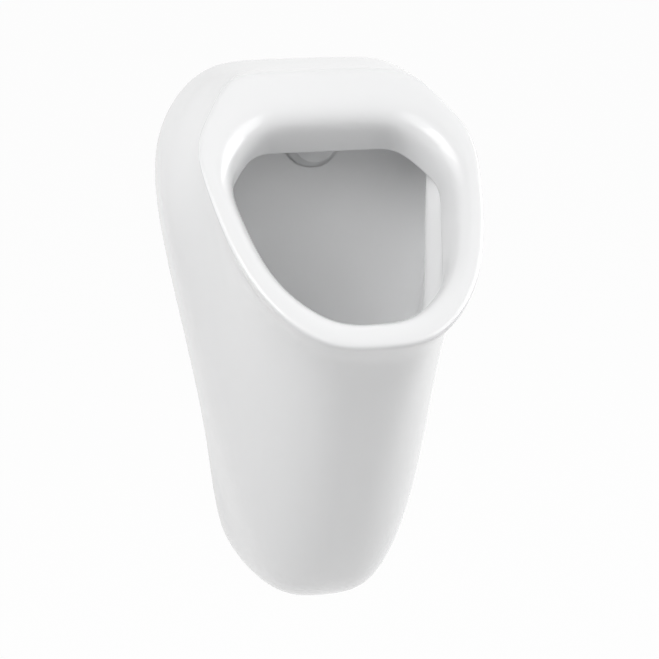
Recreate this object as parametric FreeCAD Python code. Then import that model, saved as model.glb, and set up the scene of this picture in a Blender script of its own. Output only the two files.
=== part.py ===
"""Wall hung urinal with its flush inlet, waste, bottle trap and wall hangers.

Millimetres. The wall is the plane Y = 0, the urinal stands out from it towards -Y,
+X is to the right of someone facing it and +Z is up. While a piece is modelled its
heights are measured from the foot of the china; export() then moves everything down
by HANGER_HEIGHT, so that the origin is the middle of the four wall fixings.

The china is one glazed skin. It is carried by loops, like the ribs of a boat: each
loop lies in a plane that holds the X direction, and it runs from a point at its top,
round one side to a point at its foot, and back up the other side. The loops go from
the outline on the wall, out along the flanks and the column, over the rolled rim,
down the slope inside it to the throat, and on into the bowl as far as its floor.
"""
import FreeCAD
import Part
import math
import os
from FreeCAD import Vector

os.makedirs("parts", exist_ok=True)

# ---------------------------------------------------------------- china: outside
HEIGHT = 550.0            # top of the china above its foot
WALL_SIDE = 158.5         # reach of the wall outline's side pole
FLANGE_DEPTH = 25.0       # straight part next to the wall
BELLY_SIDE = 157.0
BELLY_TOP_DEPTH = 46.0
BELLY_FOOT_DEPTH = 144.0
BELLY_FOOT_DROP = 38.0    # the belly's foot pole hangs this far below the foot
RIM_SIDE = 137.0
RIM_TOP_DEPTH = 92.5
RIM_FOOT_DEPTH = 325.7
RIM_FOOT_HEIGHT = 345.7
NECK_TOP_DEPTH = 61.5
NECK_BACK = 56.0          # the neck's foot lies this far behind the lip
NECK_BELOW = 53.0         # and this far below it
NECK_INSET = 26.7         # the neck is this much narrower than the rim
ROLL = 13.0               # size of the rolled outer edge of the rim
ROLL_RISE = 1.0           # behind it the skin rises this much above the top,
ROLL_INSET = 3.0          # and is this much narrower

# ---------------------------------------------------------------- china: inside
BAND_TOP = 48.0           # breadth of the rim's face at the top,
BAND_SIDE = 26.0          # at the sides
BAND_LIP = 30.0           # and at the front lip
BAND_SINK = 6.0           # its inner edge lies this far behind the rim's face
BEND_TOP = 14.0           # the face starts to bend inwards this far before its edge, at the top,
BEND_SIDE = 8.0           # and at the sides,
BEND_SINK = 1.0           # where it lies this far behind
SLOPE_TOP = 8.0           # the slope starts this far inside the face, at the top,
SLOPE_SIDE = 6.0          # and at the sides,
SLOPE_SINK = 18.0         # where it lies this far behind
THROAT_SIDE = 102.0
THROAT_TOP_DEPTH = 86.0
THROAT_BELOW_TOP = 81.0   # the throat's top lies this far below the top of the china
THROAT_FOOT_BACK = 32.4   # the throat's foot lies this far behind the lip
THROAT_FOOT_BELOW = 5.8   # and this far below it
THROAT_EDGE = 2.5         # size of the rounded edge of the throat
ENTRY_WIDER = 12.0        # behind the throat the bowl opens by this much at each side,
ENTRY_FORWARD = 15.0      # starts this far in front of the back wall
ENTRY_BELOW = 10.0        # and this far below the ceiling
BACK_WALL = 45.0          # depth of the bowl's flat back wall
SIDE_WALL = 24.5          # the bowl's widest pole lies this far inside the wall outline's
CEILING = 25.0            # the bowl's top pole lies this far below the top of the china
FLOOR_HEIGHT = 222.0      # height of the bowl's flat floor
FLOOR_RADIUS = 46.0
FLOOR_EDGE = 10.0         # the floor's last ring is this much wider
SHELL = 12.0              # thickness of the china round the hollow back
FOOT_SHELL = 10.0
FLOOR_SHELL = 14.0
CELLAR_BELOW = 100.0      # the hollow's cutting box starts this far below the foot

# Outlines, as (share of the side pole, share of the way from top to foot), for one side.
WALL_SHARES = ((0.322, 0.0), (0.606, 0.005), (0.852, 0.07), (1.0, 0.19),
               (0.823, 0.459), (0.629, 0.73), (0.584, 1.0))
BELLY_SHARES = ((0.382, 0.0), (0.694, 0.01), (0.904, 0.093), (1.03, 0.276),
                (0.83, 0.38), (0.525, 0.94), (0.13, 1.0))
RIM_SHARES = ((0.474, 0.0), (0.686, 0.017), (0.854, 0.154), (1.0, 0.264),
              (0.956, 0.455), (0.81, 0.784), (0.409, 1.0))
BAND_SHARES = ((0.4, 0.0), (0.65, 0.02), (0.89, 0.14), (1.0, 0.3),
               (0.95, 0.475), (0.81, 0.785), (0.409, 1.0))
THROAT_SHARES = ((0.472, 0.0), (0.711, 0.0), (0.93, 0.16), (1.02, 0.24),
                 (0.885, 0.465), (0.755, 0.775), (0.4, 1.0))
BOWL_SHARES = ((0.43, 0.0), (0.86, 0.0), (1.0, 0.05), (0.92, 0.2),
               (0.76, 0.45), (0.6, 0.78), (0.33, 1.0))
INSET_SHARE = (0.5, 0.7, 0.9, 1.0, 1.0, 0.9, 0.6)   # how much of an inset each pole takes
NECK_SHARE = (0.3, 0.35, 0.5, 0.75, 1.0, 0.7, 0.6)
# The bowl's loops, as shares of: the drop from ceiling to floor on the back wall, the way
# back from the lip to the waste's axis, the drop from lip to floor, and the widest side.
BOWL_STEP_SHARES = ((0.0, 0.271, 0.42, 0.85),
                    (0.03, 0.316, 0.631, 0.885),
                    (0.155, 0.37, 0.857, 0.97),
                    (0.38, 0.433, 0.946, 1.0),
                    (0.66, 0.505, 0.984, 0.9),
                    (0.914, 0.648, 1.008, 0.71))
ENTRY_FOOT_SHARES = (0.207, 0.194)

# ---------------------------------------------------------------- wall hangers
RIB_BELOW_TOP = 50.0      # underside of the china's hanging ribs, below its top
RIB_BACK = 10.0           # the rib's back face,
RIB_THICK = 12.0          # thickness
RIB_WIDTH = 44.0          # and width
HANGER_BELOW_RIB = 32.0   # middle of the four wall fixings, below the ribs
HANGER_HALF_SPACING = 82.0
SCREW_SPACING = 26.0      # between the two screws of one hanger
HANGER_WIDTH = 32.0
HANGER_STEEL = 3.0
HOOK_BELOW = 3.0          # steel of the hook's arm
HOOK_REACH = 28.0
HOOK_RISE = 14.0
PAD = 1.5                 # plastic sleeve on the hook's arm
SCREW_RADIUS = 3.0        # thread of a wall screw, from the wall's face inwards
SCREW_NECK = 2.6          # radius of its plain neck, in the hanger and the washer
HANGER_HOLE = 4.8         # the hangers' holes are wide, so that they can be shifted level
SCREW_LENGTH = 52.0
SCREW_HEAD_RADIUS = 6.5
SCREW_HEAD_HEIGHT = 4.0
WASHER_RADIUS = 9.0
WASHER_THICK = 1.5
CLEAR = 0.2               # radial room of a plain pin in its hole
HOLE_ROOM = 1.0           # radial room of a fitting in the china's holes

# ---------------------------------------------------------------- flush inlet
INLET_BELOW_TOP = 71.0    # the inlet's axis, below the top of the china
FLUSH_PIPE_RADIUS = 16.0
SEAL_WALL = 3.0
WATERWAY_RADIUS = 13.5    # narrower than the pipe, which so stops at a shoulder
SEAL_STEP = 14.5          # the seal starts this far behind the spreader's flange
SPIGOT_WALL = 3.0
SPREADER_FLANGE_RADIUS = 29.0
SPREADER_FLANGE = 3.0
SPREADER_REACH = 22.0
SPREADER_WALL = 2.5
HOOD_RADIUS = 30.0
MOUTH_BACK = 7.0          # the hood's mouth starts this far behind its front
MOUTH_BELOW = 12.0        # and this far below the inlet's axis
INLET_GASKET = 2.0
INLET_NUT = 9.0
INLET_NUT_RADIUS = 33.0
SPIGOT_END_DEPTH = 4.0    # the spigot stops this far in front of the wall

# ---------------------------------------------------------------- waste and trap
OUTLET_DEPTH = 104.0      # the waste's axis in front of the wall
TAIL_RADIUS = 23.5
TAIL_WALL = 3.0
TAIL_LENGTH = 40.0
WASTE_FLANGE_RADIUS = 38.0
WASTE_FLANGE = 3.5
WASTE_GASKET = 2.0
DOME_RADIUS = 31.0
DOME_RISE = 13.0
DOME_STEEL = 1.5
DOME_SLOTS = 12
SEAT_GAP = 0.3            # the strainer is loose in its seat
WASTE_NUT_RADIUS = 35.0
WASTE_NUT = 10.0
TRAP_NUT_RADIUS = 31.0
TRAP_NUT = 19.0
TRAP_WASHER = 3.0
DIP_RADIUS = 19.0
DIP_WALL = 2.0
DIP_FLANGE = 3.0
WATER_SEAL = 50.0         # the dip tube ends this far below the drain's invert
TRAP_RADIUS = 29.0
TRAP_WALL = 3.0
TRAP_LENGTH = 64.0
COLLAR_RISE = 4.0         # the collar stands this high on the trap's body,
COLLAR_GAP = 3.0          # and this far below the nut
CUP_RADIUS = 33.0
CUP_WALL = 3.0
CUP_BELOW_DIP = 10.5      # the cup's floor, below the end of the dip tube
CUP_BEVEL = 13.0          # the cup narrows to its floor, clear of the china's front
CUP_LAP = 12.0            # how far the cup runs up over the trap's body
CUP_SEAL = 2.5
DRAIN_BELOW_TRAP = 27.0   # axis of the outlet pipe, below the top of the trap's body
DRAIN_RADIUS = 20.0       # the outlet pipe past the wall
DRAIN_STEP = 1.0          # in front of the wall it is this much thinner
DRAIN_WALL = 1.8
DRAIN_PAST_WALL = 45.0
STUB_LENGTH = 20.0
STUB_WALL = 2.5
DRAIN_NUT = 18.0
DRAIN_SEAL = 4.0
NUT_LIP = 3.0             # thickness of a nut's inner lip

# ---------------------------------------------------------------- heights that follow
RIB_HEIGHT = HEIGHT - RIB_BELOW_TOP
HANGER_HEIGHT = RIB_HEIGHT - HANGER_BELOW_RIB
INLET_HEIGHT = HEIGHT - INLET_BELOW_TOP
TAIL_LOW = FLOOR_HEIGHT - TAIL_LENGTH
DIP_TOP = TAIL_LOW - TRAP_WASHER
TRAP_NUT_LOW = DIP_TOP - DIP_FLANGE - NUT_LIP
TRAP_TOP_HEIGHT = TRAP_NUT_LOW - COLLAR_GAP - COLLAR_RISE
TRAP_END_HEIGHT = TRAP_TOP_HEIGHT - TRAP_LENGTH
DRAIN_HEIGHT = TRAP_TOP_HEIGHT - DRAIN_BELOW_TRAP
PIPE_RADIUS = DRAIN_RADIUS - DRAIN_STEP
DIP_END_HEIGHT = DRAIN_HEIGHT - PIPE_RADIUS + DRAIN_WALL - WATER_SEAL
CUP_FLOOR_HEIGHT = DIP_END_HEIGHT - CUP_BELOW_DIP


# ---------------------------------------------------------------- helpers
def export(name, shape):
    """Write one piece, moved so that the origin is the middle of the wall fixings."""
    placed = shape.copy()
    placed.translate(Vector(0, 0, -HANGER_HEIGHT))
    placed.exportStep("parts/%s.step" % name)
    print("%-18s volume %10.0f  solids %d  valid %s"
          % (name, placed.Volume, len(placed.Solids), placed.isValid()))


def tube(outer, inner, low, high, depth):
    """An upright ring or tube on the vertical axis `depth` in front of the wall."""
    base = Vector(0, -depth, low)
    ring = Part.makeCylinder(outer, high - low, base)
    if inner > 0:
        ring = ring.cut(Part.makeCylinder(inner, high - low, base))
    return ring


def level_tube(outer, inner, front, back, height, x=0.0):
    """A ring or tube on a level axis, from Y = -front to Y = -back."""
    base = Vector(x, -front, height)
    along = Vector(0, 1, 0)
    ring = Part.makeCylinder(outer, front - back, base, along)
    if inner > 0:
        ring = ring.cut(Part.makeCylinder(inner, front - back, base, along))
    return ring


def grip_nut(radius, bore, length, base, along, grips=8):
    """A plastic hand nut: a drum with shallow finger grips down its outside."""
    drum = Part.makeCylinder(radius, length, base, along)
    drum = drum.cut(Part.makeCylinder(bore, length, base, along))
    across = Vector(1, 0, 0)
    for index in range(grips):
        groove = Part.makeCylinder(radius * 0.2, length, base + across * (radius * 1.08), along)
        groove.rotate(base, along, 360.0 * index / grips)
        drum = drum.cut(groove)
    return drum


def revolved(profile, depth):
    """A solid of revolution about the waste's axis from (radius, height) corners."""
    corners = [Vector(radius, 0, height) for radius, height in profile]
    face = Part.Face(Part.makePolygon(corners + corners[:1]))
    solid = face.revolve(Vector(0, 0, 0), Vector(0, 0, 1), 360)
    solid.translate(Vector(0, -depth, 0))
    return solid


# ---------------------------------------------------------------- the glazed skin
def loop(top, foot, widths, drops):
    """The 16 poles of one loop; top and foot are (Y, Z) in the plane X = 0."""
    poles = [(0.0, top[0], top[1])]
    for width, drop in zip(widths, drops):
        poles.append((width, top[0] + (foot[0] - top[0]) * drop, top[1] + (foot[1] - top[1]) * drop))
    poles.append((0.0, foot[0], foot[1]))
    mirrored = [(-x, y, z) for x, y, z in reversed(poles[1:-1])]
    return [Vector(*pole) for pole in poles + mirrored]


def outline_loop(top, foot, side, outline, inset=0.0, shares=INSET_SHARE):
    """A loop with a named outline, drawn in by `inset` at its side."""
    widths = [side * width - inset * share for (width, _), share in zip(outline, shares)]
    return loop(top, foot, widths, [drop for _, drop in outline])


def round_loop(radius, depth, height):
    """A level circle round the waste's axis, with the same 16 poles as every loop."""
    poles = []
    for index in range(16):
        angle = math.radians(22.5 * index)
        poles.append(Vector(radius * math.sin(angle), -depth + radius * math.cos(angle), height))
    return poles


def skin_solid(rows):
    """Close a skin carried by rows of poles with a flat face at each end."""
    count = len(rows)
    row_knots = list(range(count - 2))
    row_mults = [4] + [1] * (count - 4) + [4]
    loop_knots = list(range(17))
    surface = Part.BSplineSurface()
    surface.buildFromPolesMultsKnots(rows, row_mults, [1] * 17, row_knots, loop_knots,
                                     False, True, 3, 3)
    skin = surface.toShape()
    caps = []
    for parameter in (row_knots[0], row_knots[-1]):
        rim = surface.uIso(parameter).toShape()
        caps.append(Part.Face(Part.Wire([rim])))
    shell = Part.makeShell([skin] + caps)
    shell.sewShape()
    solid = Part.Solid(shell)
    if solid.Volume < 0:
        solid.reverse()
    return solid


def outside_rows(inset=0.0, below=0.0, proud=0.0):
    """Loops of the outside, from the wall to the neck, drawn in by `inset`."""
    top = HEIGHT - inset
    wall_side = WALL_SIDE - inset
    wall = [outline_loop((proud, top), (proud, below), wall_side, WALL_SHARES),
            outline_loop((-FLANGE_DEPTH, top), (-FLANGE_DEPTH, below), wall_side, WALL_SHARES)]
    belly_foot = (inset - BELLY_FOOT_DEPTH, below - BELLY_FOOT_DROP)
    belly = outline_loop((-BELLY_TOP_DEPTH, top), belly_foot, BELLY_SIDE - inset, BELLY_SHARES)
    neck_foot = (NECK_BACK - RIM_FOOT_DEPTH + inset, RIM_FOOT_HEIGHT - NECK_BELOW)
    neck = outline_loop((-NECK_TOP_DEPTH, top), neck_foot, RIM_SIDE - inset, RIM_SHARES,
                        NECK_INSET, NECK_SHARE)
    return wall + [belly, neck]


def rim_rows():
    """Loops of the rolled rim, its face, the ridge and the slope down to the throat."""
    top = (-RIM_TOP_DEPTH, HEIGHT)
    foot = (-RIM_FOOT_DEPTH, RIM_FOOT_HEIGHT)
    length = math.hypot(foot[0] - top[0], foot[1] - top[1])
    down = ((foot[0] - top[0]) / length, (foot[1] - top[1]) / length)
    behind = (-down[1], down[0])

    def inset_loop(at_top, at_side, at_lip, sink, shares):
        start = [t + d * at_top + b * sink for t, d, b in zip(top, down, behind)]
        end = [f - d * at_lip + b * sink for f, d, b in zip(foot, down, behind)]
        return outline_loop(start, end, RIM_SIDE, shares, at_side)

    under_roll = outline_loop((top[0] + ROLL, top[1] + ROLL_RISE),
                              (foot[0] + ROLL, foot[1] - ROLL * 0.6),
                              RIM_SIDE, RIM_SHARES, ROLL_INSET)
    return [under_roll,
            inset_loop(0.0, 0.0, 0.0, 0.0, RIM_SHARES),
            inset_loop(ROLL, ROLL, ROLL * 0.85, 0.0, RIM_SHARES),
            inset_loop(BAND_TOP - BEND_TOP, BAND_SIDE - BEND_SIDE, BAND_LIP - BEND_SIDE,
                       BEND_SINK, BAND_SHARES),
            inset_loop(BAND_TOP, BAND_SIDE, BAND_LIP, BAND_SINK, BAND_SHARES),
            inset_loop(BAND_TOP + SLOPE_TOP, BAND_SIDE + SLOPE_SIDE, BAND_LIP + SLOPE_SIDE,
                       SLOPE_SINK, BAND_SHARES)]


def bowl_rows():
    """Loops of the throat and the bowl behind it, down to the flat floor."""
    throat_foot = (THROAT_FOOT_BACK - RIM_FOOT_DEPTH, RIM_FOOT_HEIGHT - THROAT_FOOT_BELOW)
    throat_top = HEIGHT - THROAT_BELOW_TOP
    rows = [outline_loop((-THROAT_TOP_DEPTH + step, throat_top - step),
                         (throat_foot[0] + step, throat_foot[1] - step),
                         THROAT_SIDE, THROAT_SHARES)
            for step in (0.0, THROAT_EDGE)]
    ceiling = HEIGHT - CEILING

    def front_foot(share_back, share_down):
        return (-RIM_FOOT_DEPTH + (RIM_FOOT_DEPTH - OUTLET_DEPTH) * share_back,
                RIM_FOOT_HEIGHT - (RIM_FOOT_HEIGHT - FLOOR_HEIGHT) * share_down)

    rows.append(outline_loop((-BACK_WALL - ENTRY_FORWARD, ceiling - ENTRY_BELOW),
                             front_foot(*ENTRY_FOOT_SHARES), THROAT_SIDE + ENTRY_WIDER, THROAT_SHARES))
    for drop, share_back, share_down, side in BOWL_STEP_SHARES:
        rows.append(outline_loop((-BACK_WALL, ceiling - (ceiling - FLOOR_HEIGHT) * drop),
                                 front_foot(share_back, share_down),
                                 (WALL_SIDE - SIDE_WALL) * side, BOWL_SHARES))
    for radius in (FLOOR_RADIUS + FLOOR_EDGE, FLOOR_RADIUS):
        rows.append(round_loop(radius, OUTLET_DEPTH, FLOOR_HEIGHT))
    return rows


def ceramic_body():
    """The one piece of vitreous china, with its open back, holes and hanging ribs."""
    china = skin_solid(outside_rows() + rim_rows() + bowl_rows())
    core = skin_solid(outside_rows(SHELL, FOOT_SHELL, 2.0))
    shelf = Part.makeBox(2 * WALL_SIDE, BACK_WALL - SHELL + 2.0, HEIGHT,
                         Vector(-WALL_SIDE, SHELL - BACK_WALL, 0))
    cellar = Part.makeBox(2 * WALL_SIDE, RIM_FOOT_DEPTH, UNDER_FLOOR + CELLAR_BELOW,
                          Vector(-WALL_SIDE, 2.0 - RIM_FOOT_DEPTH, -CELLAR_BELOW))
    hollow = core.common(shelf.fuse(cellar))
    for side in (-1, 1):
        middle = side * HANGER_HALF_SPACING
        rib = Part.makeBox(RIB_WIDTH, RIB_THICK, HEIGHT - RIB_HEIGHT,
                           Vector(middle - RIB_WIDTH / 2, -RIB_BACK - RIB_THICK, RIB_HEIGHT))
        hollow = hollow.cut(rib)
    china = china.cut(hollow)
    inlet_hole = level_tube(SPIGOT_RADIUS + HOLE_ROOM, 0, BACK_WALL + 5.0, 0.0, INLET_HEIGHT)
    waste_hole = tube(TAIL_RADIUS + HOLE_ROOM, 0, UNDER_FLOOR - 5.0, FLOOR_HEIGHT + 5.0, OUTLET_DEPTH)
    return china.cut(inlet_hole.fuse(waste_hole))


# ---------------------------------------------------------------- wall hangers
def hanger_bracket(side):
    """A steel plate on the wall whose arm reaches under the china's rib and turns up."""
    middle = side * HANGER_HALF_SPACING
    arm_top = RIB_HEIGHT - PAD
    arm_low = arm_top - HOOK_BELOW
    left = middle - HANGER_WIDTH / 2
    plate_low = HANGER_HEIGHT - SCREW_SPACING / 2 - WASHER_RADIUS - 3.0
    plate = Part.makeBox(HANGER_WIDTH, HANGER_STEEL, arm_top - plate_low,
                         Vector(left, -HANGER_STEEL, plate_low))
    arm = Part.makeBox(HANGER_WIDTH, HOOK_REACH, HOOK_BELOW, Vector(left, -HOOK_REACH, arm_low))
    tip = Part.makeBox(HANGER_WIDTH, HANGER_STEEL, HOOK_RISE, Vector(left, -HOOK_REACH, arm_low))
    bracket = plate.fuse([arm, tip]).removeSplitter()
    inner_bends = [edge for edge in bracket.Edges
                   if abs(edge.Length - HANGER_WIDTH) < 0.01 and edge.CenterOfMass.z == arm_low
                   and -HOOK_REACH - 0.1 < edge.CenterOfMass.y < -HANGER_STEEL + 0.1]
    bracket = bracket.makeFillet(HANGER_STEEL * 0.8, inner_bends)
    for height in screw_heights():
        hole = level_tube(HANGER_HOLE, 0, HANGER_STEEL + 1.0, -1.0, height, middle)
        bracket = bracket.cut(hole)
    return bracket


def screw_heights():
    """Heights of the two screws of each hanger."""
    return (HANGER_HEIGHT - SCREW_SPACING / 2, HANGER_HEIGHT + SCREW_SPACING / 2)


def at_each_screw(make):
    """The same piece at all four wall screws, as one group of separate solids."""
    return Part.makeCompound([make(side * HANGER_HALF_SPACING, height)
                              for side in (-1, 1) for height in screw_heights()])


def hook_pad(side):
    """The plastic sleeve between a hook's arm and the china's rib."""
    back = RIB_BACK - 1.0
    front = HOOK_REACH - HANGER_STEEL
    left = side * HANGER_HALF_SPACING - HANGER_WIDTH / 2
    return Part.makeBox(HANGER_WIDTH, front - back, PAD, Vector(left, -front, RIB_HEIGHT - PAD))


def wall_screw(x, height):
    """A hexagon wall screw: a plain neck in the hanger, then the thread and its point."""
    under_head = HANGER_STEEL + WASHER_THICK
    along = Vector(0, 1, 0)
    start = Vector(x, -under_head, height)
    point = SCREW_RADIUS * 2
    point_start = SCREW_LENGTH - point
    neck = Part.makeCylinder(SCREW_NECK, under_head, start, along)
    thread_start = Vector(x, 0, height)
    thread = Part.makeCylinder(SCREW_RADIUS, point_start - under_head, thread_start, along)
    tip = Part.makeCone(SCREW_RADIUS, 0.6, point, start + along * point_start, along)
    corners = []
    for index in range(7):
        angle = math.radians(60 * index)
        corners.append(start + Vector(math.cos(angle), 0, math.sin(angle)) * SCREW_HEAD_RADIUS)
    head = Part.Face(Part.makePolygon(corners)).extrude(along * -SCREW_HEAD_HEIGHT)
    crown = Part.makeCone(SCREW_HEAD_RADIUS + SCREW_HEAD_HEIGHT * 0.9, SCREW_HEAD_RADIUS * 0.86,
                          SCREW_HEAD_HEIGHT, start, along * -1)
    return head.common(crown).fuse([neck, thread, tip]).removeSplitter()


def screw_washer(x, height):
    return level_tube(WASHER_RADIUS, SCREW_RADIUS + CLEAR, HANGER_STEEL + WASHER_THICK, HANGER_STEEL,
                      height, x)


# ---------------------------------------------------------------- flush inlet
SEAL_RADIUS = FLUSH_PIPE_RADIUS + SEAL_WALL
SPIGOT_RADIUS = SEAL_RADIUS + SPIGOT_WALL
SPREADER_BACK = BACK_WALL + INLET_GASKET
SPREADER_FRONT = SPREADER_BACK + SPREADER_FLANGE
SEAL_DEPTH = SPREADER_BACK - SEAL_STEP
NUT_FRONT = BACK_WALL - SHELL
UNDER_FLOOR = FLOOR_HEIGHT - FLOOR_SHELL


def inlet_spreader():
    """Flange, threaded spigot to the back and a hood that turns the flush down the walls."""
    flange = level_tube(SPREADER_FLANGE_RADIUS, 0, SPREADER_FRONT, SPREADER_BACK, INLET_HEIGHT)
    spigot = level_tube(SPIGOT_RADIUS, 0, SPREADER_BACK, SPIGOT_END_DEPTH, INLET_HEIGHT)
    passage = level_tube(SEAL_RADIUS, 0, SEAL_DEPTH, SPIGOT_END_DEPTH - 1.0, INLET_HEIGHT)
    waterway = level_tube(WATERWAY_RADIUS, 0, SPREADER_FRONT + 1.0, SEAL_DEPTH - 1.0, INLET_HEIGHT)
    inner = hood_dome(HOOD_RADIUS - SPREADER_WALL, SPREADER_REACH - SPREADER_WALL)
    hood = hood_dome(HOOD_RADIUS, SPREADER_REACH).cut(inner)
    mouth = Part.makeBox(2 * HOOD_RADIUS, SPREADER_REACH - MOUTH_BACK, HOOD_RADIUS,
                         Vector(-HOOD_RADIUS, -SPREADER_FRONT - SPREADER_REACH + MOUTH_BACK,
                                INLET_HEIGHT - HOOD_RADIUS - MOUTH_BELOW))
    hood = hood.cut(mouth)
    spreader = flange.fuse([spigot, hood]).cut(passage.fuse(waterway))
    return spreader.removeSplitter()


def hood_dome(radius, reach):
    """Half an ellipsoid of revolution standing on the spreader's flange."""
    ball = Part.makeSphere(radius, Vector(0, 0, 0), Vector(0, 0, 1), 0, 90, 360)
    squash = FreeCAD.Matrix()
    squash.scale(1.0, 1.0, reach / radius)
    squashed = ball.transformGeometry(squash)
    squashed.rotate(Vector(0, 0, 0), Vector(1, 0, 0), 90)
    squashed.translate(Vector(0, -SPREADER_FRONT, INLET_HEIGHT))
    return squashed


# ---------------------------------------------------------------- waste and trap
FLANGE_LOW = FLOOR_HEIGHT + WASTE_GASKET
FLANGE_HIGH = FLANGE_LOW + WASTE_FLANGE
STUB_END = OUTLET_DEPTH - TRAP_RADIUS - STUB_LENGTH + 4.0
STUB_BORE = PIPE_RADIUS + CLEAR
PIPE_BORE = PIPE_RADIUS - DRAIN_WALL
PIPE_FRONT = OUTLET_DEPTH - TRAP_RADIUS + TRAP_WALL
STUB_RADIUS = STUB_BORE + STUB_WALL
CUP_BORE = TRAP_RADIUS - TRAP_WALL + 0.5


def waste_flange():
    """Chromed waste: a dished flange with a seat for the strainer, and its tail."""
    bore = TAIL_RADIUS - TAIL_WALL
    seat = DOME_RADIUS + SEAT_GAP
    return revolved([(bore, TAIL_LOW), (TAIL_RADIUS, TAIL_LOW), (TAIL_RADIUS, FLANGE_LOW),
                     (WASTE_FLANGE_RADIUS, FLANGE_LOW), (WASTE_FLANGE_RADIUS, FLANGE_LOW + 1.0),
                     (seat + 2.0, FLANGE_HIGH), (seat, FLANGE_HIGH), (seat, FLANGE_HIGH - DOME_STEEL),
                     (bore, FLANGE_HIGH - DOME_STEEL)], OUTLET_DEPTH)


def strainer_dome():
    """The loose dome strainer: a steel cap with a ring of slots and a crown of holes."""
    low = FLANGE_HIGH - DOME_STEEL + SEAT_GAP
    sphere = (DOME_RADIUS ** 2 + DOME_RISE ** 2) / (2 * DOME_RISE)
    centre = Vector(0, -OUTLET_DEPTH, low + DOME_RISE - sphere)
    cap = Part.makeSphere(sphere, centre).cut(Part.makeSphere(sphere - DOME_STEEL, centre))
    dome = cap.common(tube(DOME_RADIUS, 0, low, low + DOME_RISE + 1.0, OUTLET_DEPTH))
    cutters = []
    for index in range(DOME_SLOTS):
        slot = Part.makeBox(12.0, 3.0, DOME_RISE + 2.0, Vector(14.0, -1.5 - OUTLET_DEPTH, low + 0.5))
        slot.rotate(Vector(0, -OUTLET_DEPTH, 0), Vector(0, 0, 1), 360.0 * index / DOME_SLOTS)
        cutters.append(slot)
    for index in range(DOME_SLOTS // 2):
        hole = Part.makeCylinder(2.0, DOME_RISE + 2.0, Vector(8.0, -OUTLET_DEPTH, low + 0.5))
        hole.rotate(Vector(0, -OUTLET_DEPTH, 0), Vector(0, 0, 1), 720.0 * index / DOME_SLOTS)
        cutters.append(hole)
    return dome.cut(cutters)


def trap_body():
    """Bottle trap body: a drum with a collar for the dip tube and a stub to the drain."""
    collar_bore = DIP_RADIUS + CLEAR
    drum = tube(TRAP_RADIUS, 0, TRAP_END_HEIGHT, TRAP_TOP_HEIGHT, OUTLET_DEPTH)
    collar_top = TRAP_TOP_HEIGHT + COLLAR_RISE
    ceiling = TRAP_TOP_HEIGHT - TRAP_WALL
    collar = tube(collar_bore + TRAP_WALL, 0, TRAP_TOP_HEIGHT, collar_top, OUTLET_DEPTH)
    stub = level_tube(STUB_RADIUS, 0, OUTLET_DEPTH, STUB_END, DRAIN_HEIGHT)
    inside = tube(TRAP_RADIUS - TRAP_WALL, 0, TRAP_END_HEIGHT, ceiling, OUTLET_DEPTH)
    throat = tube(collar_bore, 0, ceiling - 1.0, collar_top, OUTLET_DEPTH)
    socket = level_tube(STUB_BORE, 0, PIPE_FRONT, STUB_END, DRAIN_HEIGHT)
    window = level_tube(PIPE_BORE, 0, OUTLET_DEPTH, STUB_END, DRAIN_HEIGHT)
    return drum.fuse([collar, stub]).cut(inside.fuse([throat, socket, window])).removeSplitter()


def trap_cup():
    """The cup that screws up over the trap's body and holds the water seal."""
    high = TRAP_END_HEIGHT + CUP_LAP
    ledge = TRAP_END_HEIGHT - CUP_SEAL
    floor = CUP_FLOOR_HEIGHT
    return revolved([(0, floor), (CUP_RADIUS - CUP_BEVEL, floor), (CUP_RADIUS, floor + CUP_BEVEL),
                     (CUP_RADIUS, high), (TRAP_RADIUS + CLEAR, high), (TRAP_RADIUS + CLEAR, ledge),
                     (CUP_BORE, ledge), (CUP_BORE, floor + CUP_BEVEL),
                     (CUP_BORE - CUP_BEVEL + CUP_WALL, floor + CUP_WALL), (0, floor + CUP_WALL)],
                    OUTLET_DEPTH)


# ---------------------------------------------------------------- build
export("ceramic_body", ceramic_body())

export("hanger_left", hanger_bracket(-1))
export("hanger_right", hanger_bracket(1))
export("hook_pads", Part.makeCompound([hook_pad(-1), hook_pad(1)]))
export("hanger_screws", at_each_screw(wall_screw))
export("screw_washers", at_each_screw(screw_washer))

export("inlet_spreader", inlet_spreader())
export("inlet_gasket", level_tube(SPREADER_FLANGE_RADIUS - 1.0, SPIGOT_RADIUS + CLEAR,
                                  SPREADER_BACK, BACK_WALL, INLET_HEIGHT))
export("inlet_washer", level_tube(INLET_NUT_RADIUS - 3.0, SPIGOT_RADIUS + CLEAR,
                                  NUT_FRONT, NUT_FRONT - INLET_GASKET, INLET_HEIGHT))
export("inlet_backnut", grip_nut(INLET_NUT_RADIUS, SPIGOT_RADIUS + CLEAR, INLET_NUT,
                                 Vector(0, INLET_GASKET - NUT_FRONT, INLET_HEIGHT), Vector(0, 1, 0)))
export("flush_pipe_seal", level_tube(SEAL_RADIUS, FLUSH_PIPE_RADIUS,
                                     SEAL_DEPTH, SPIGOT_END_DEPTH, INLET_HEIGHT))

export("waste_flange", waste_flange())
export("strainer_dome", strainer_dome())
export("waste_gasket", tube(WASTE_FLANGE_RADIUS - 1.0, TAIL_RADIUS + CLEAR,
                            FLOOR_HEIGHT, FLANGE_LOW, OUTLET_DEPTH))
waste_nut_top = UNDER_FLOOR - TRAP_WASHER
export("waste_washer", tube(WASTE_NUT_RADIUS - 2.0, TAIL_RADIUS + CLEAR,
                            waste_nut_top, UNDER_FLOOR, OUTLET_DEPTH))
export("waste_backnut", grip_nut(WASTE_NUT_RADIUS, TAIL_RADIUS + CLEAR, WASTE_NUT,
                                 Vector(0, -OUTLET_DEPTH, waste_nut_top - WASTE_NUT), Vector(0, 0, 1)))

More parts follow.
